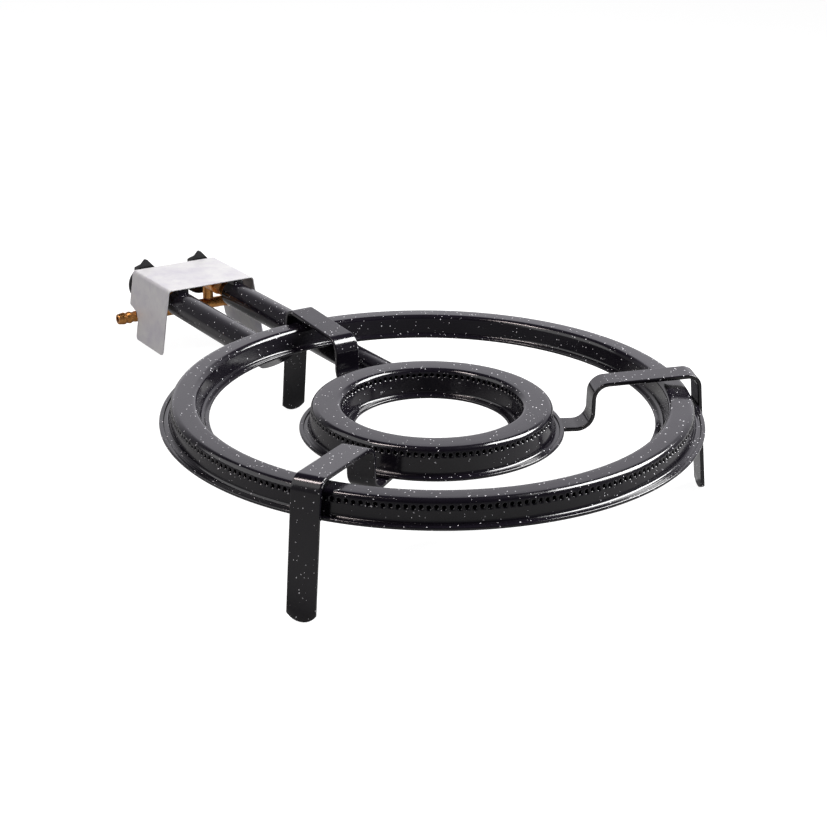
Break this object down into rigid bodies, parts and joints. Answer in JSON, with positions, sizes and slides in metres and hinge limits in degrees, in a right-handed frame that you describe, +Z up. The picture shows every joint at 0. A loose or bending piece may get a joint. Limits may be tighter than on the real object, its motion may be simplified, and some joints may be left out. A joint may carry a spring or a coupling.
{
  "type": "propane burner stand",
  "caption": "Concentric gas ring burners on flat-bar legs, fed through side-by-side tubes from rotary push-in taps under a folded cover.",
  "frame": {"origin": "on the floor under the middle of the whole outline", "axes": "+X along the feed tubes from the taps to the rings, +Y across, towards the inner ring's tap, +Z up"},
  "size_m": [0.659, 0.4, 0.0953],
  "materials": {
    "black_enamel": "glossy black enamel, fine dust specks",
    "galvanised": "smooth galvanised sheet",
    "brass": "turned brass, slightly dulled",
    "black_knob": "satin moulded black plastic",
    "spring_steel": "spring steel",
    "fibre_washer": "pressed fibre washer"
  },
  "bodies": {
    "stand": {"outer_ring_shell": "black_enamel", "outer_ring_base": "black_enamel", "inner_ring_shell": "black_enamel", "inner_ring_base": "black_enamel", "leg_rear": "black_enamel", "leg_left": "black_enamel", "leg_right": "black_enamel", "outer_feed_tube": "black_enamel", "outer_tube_end": "black_enamel", "outer_gas_collar": "black_enamel", "inner_feed_tube": "black_enamel", "inner_tube_end": "black_enamel", "tube_saddles": "black_enamel", "valve_cover": "galvanised", "manifold": "brass", "manifold_plug": "brass", "hose_barb": "brass", "tap_seals": "fibre_washer", "tap_saddles": "black_enamel", "outer_tap_body": "brass", "outer_jet": "brass", "outer_bonnet": "brass", "inner_tap_body": "brass", "inner_jet": "brass", "inner_bonnet": "brass"},
    "outer_plug": {"outer_tap_plug": "brass"},
    "outer_knob": {"outer_tap_stem": "brass", "outer_stem_spring": "spring_steel", "outer_knob": "black_knob", "outer_knob_clip": "spring_steel"},
    "inner_plug": {"inner_tap_plug": "brass"},
    "inner_knob": {"inner_tap_stem": "brass", "inner_stem_spring": "spring_steel", "inner_knob": "black_knob", "inner_knob_clip": "spring_steel"}
  },
  "joints": [
    {"name": "outer_tap_turn", "type": "hinge", "parent": "stand", "child": "outer_plug", "pos_m": [-0.2945, -0.0282, 0.057], "axis": [-1, 0, 0], "range_deg": [0, 180]},
    {"name": "outer_tap_push", "type": "slide", "parent": "outer_plug", "child": "outer_knob", "axis": [1, 0, 0], "range_m": [0, 0.002], "stiffness_N_per_m": 900, "springref_m": -0.002, "deforming": ["outer_stem_spring"]},
    {"name": "inner_tap_turn", "type": "hinge", "parent": "stand", "child": "inner_plug", "pos_m": [-0.2945, 0.0282, 0.057], "axis": [-1, 0, 0], "range_deg": [0, 180]},
    {"name": "inner_tap_push", "type": "slide", "parent": "inner_plug", "child": "inner_knob", "axis": [1, 0, 0], "range_m": [0, 0.002], "stiffness_N_per_m": 900, "springref_m": -0.002, "deforming": ["inner_stem_spring"]}
  ]
}
